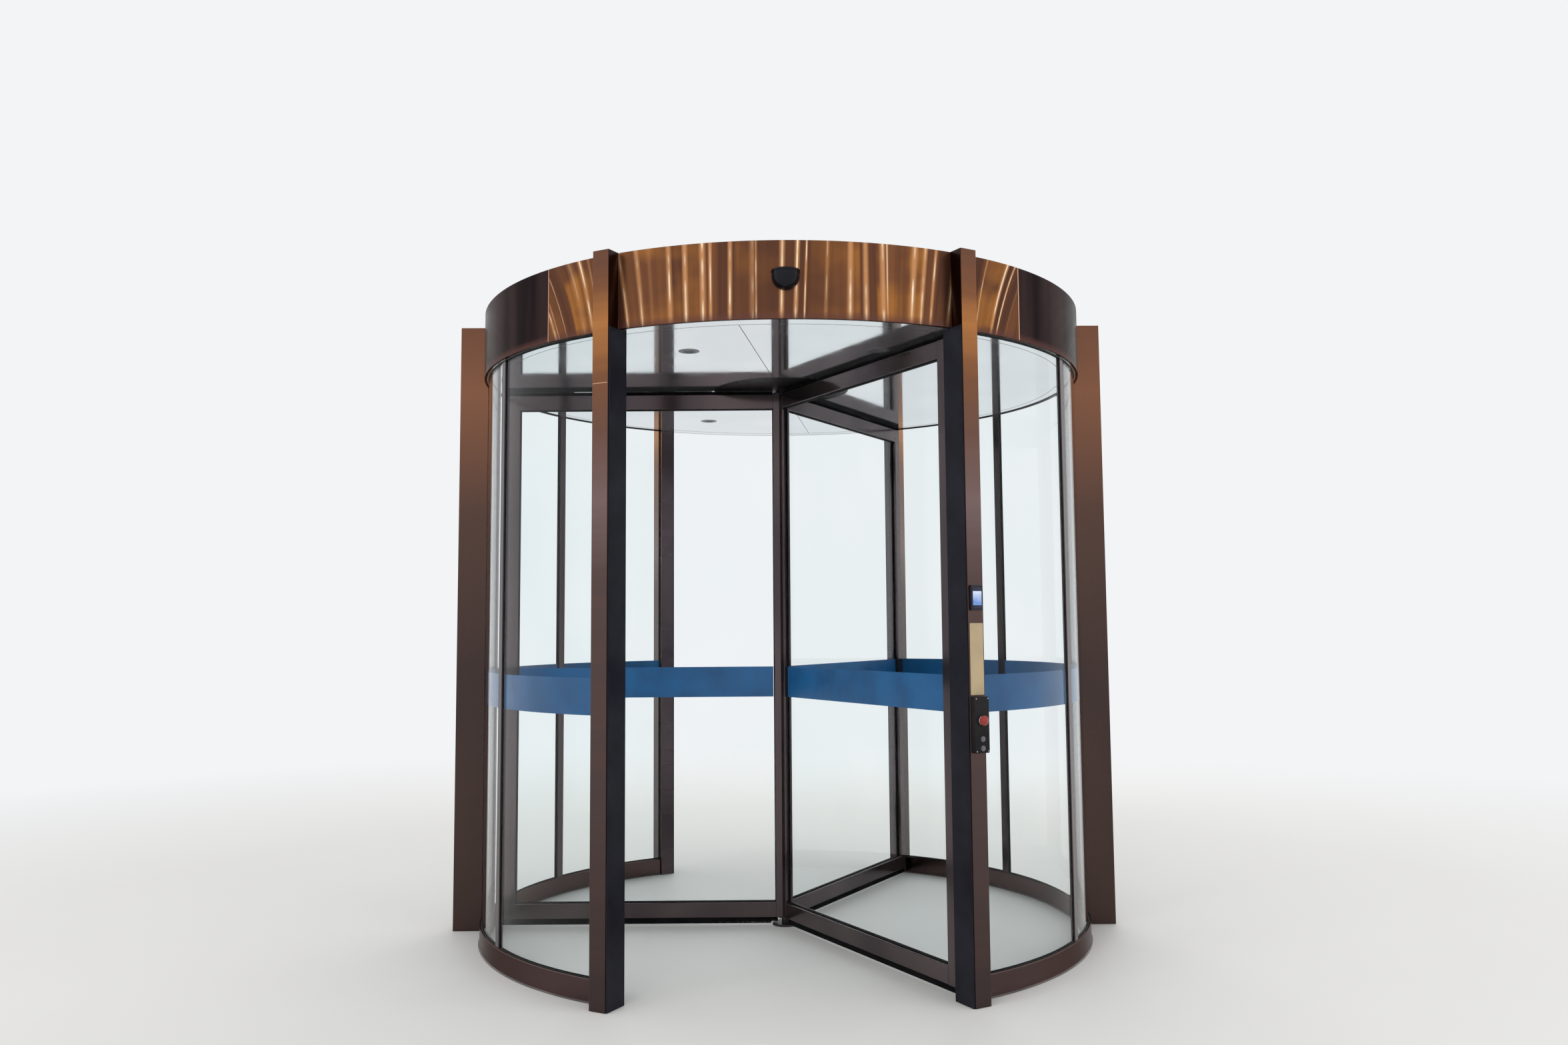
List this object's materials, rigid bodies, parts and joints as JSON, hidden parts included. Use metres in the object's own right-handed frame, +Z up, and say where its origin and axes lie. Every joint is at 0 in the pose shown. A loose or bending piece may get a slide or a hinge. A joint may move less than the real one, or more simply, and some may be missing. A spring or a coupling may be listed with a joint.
{
  "type": "revolving door",
  "caption": "Round glass revolving door with a metal-clad canopy, curved glass side walls, framed wings on a centre column and controls on one entrance post.",
  "frame": {"origin": "centre of the round drum on the floor, at the middle of the whole part's base", "axes": "+Z up along the axis the wings turn about, -Y towards the side in the picture (lobby), +X to the right seen from there; the building's front runs along X"},
  "size_m": [3.31, 3.138, 3.048],
  "materials": {
    "copper_steel": "polished copper-coloured stainless sheet",
    "bronze_steel": "dark bronze stainless, polished",
    "black_trim": "gloss black",
    "glass": "clear laminated glass",
    "brush": "black bristle",
    "gloss_ceiling": "gloss grey panel",
    "black_plastic": "gloss black",
    "cream_plate": "satin cream",
    "blue_film": "blue film on the glass at hand height",
    "red_plastic": "gloss red",
    "bright_steel": "polished",
    "plain_steel": "galvanised or primed"
  },
  "bodies": {
    "drum": {"base_rail_left": "bronze_steel", "base_rail_right": "bronze_steel", "post_front_left": "copper_steel", "post_front_right": "copper_steel", "post_back_right": "copper_steel", "post_back_left": "copper_steel", "front_reveals": "black_trim", "back_reveals": "black_trim", "left_mullions": "bronze_steel", "right_mullions": "bronze_steel", "left_wall_glass": "glass", "right_wall_glass": "glass", "wall_jamb_left": "bronze_steel", "wall_jamb_right": "bronze_steel", "head_ring": "plain_steel", "fascia_front": "copper_steel", "fascia_right": "copper_steel", "fascia_back": "copper_steel", "fascia_left": "copper_steel", "ceiling_panel": "gloss_ceiling", "ceiling_hub_plate": "black_plastic", "downlights": "bright_steel", "roof_cover": "plain_steel", "roof_beams": "plain_steel", "drive_unit": "plain_steel", "floor_pivot": "bright_steel", "sensor_dome_front": "black_plastic", "sensor_dome_back": "black_plastic", "display_panel": "black_plastic", "label_plate": "cream_plate", "control_box": "black_plastic", "key_switches": "bright_steel"},
    "rotor": {"centre_column": "bronze_steel", "wing_1_stile": "bronze_steel", "wing_1_rails": "bronze_steel", "wing_1_glass": "glass", "wing_1_seals": "brush", "wing_2_stile": "bronze_steel", "wing_2_rails": "bronze_steel", "wing_2_glass": "glass", "wing_2_seals": "brush", "wing_3_stile": "bronze_steel", "wing_3_rails": "bronze_steel", "wing_3_glass": "glass", "wing_3_seals": "brush"},
    "stop_button": {"emergency_button": "red_plastic"}
  },
  "joints": [
    {"name": "rotor_spin", "type": "hinge", "parent": "drum", "child": "rotor", "pos_m": [0, 0, 0], "axis": [0, 0, 1], "continuous": true},
    {"name": "stop_press", "type": "slide", "parent": "drum", "child": "stop_button", "axis": [-0.481, 0.8767, 0], "range_m": [0, 0.004]}
  ]
}
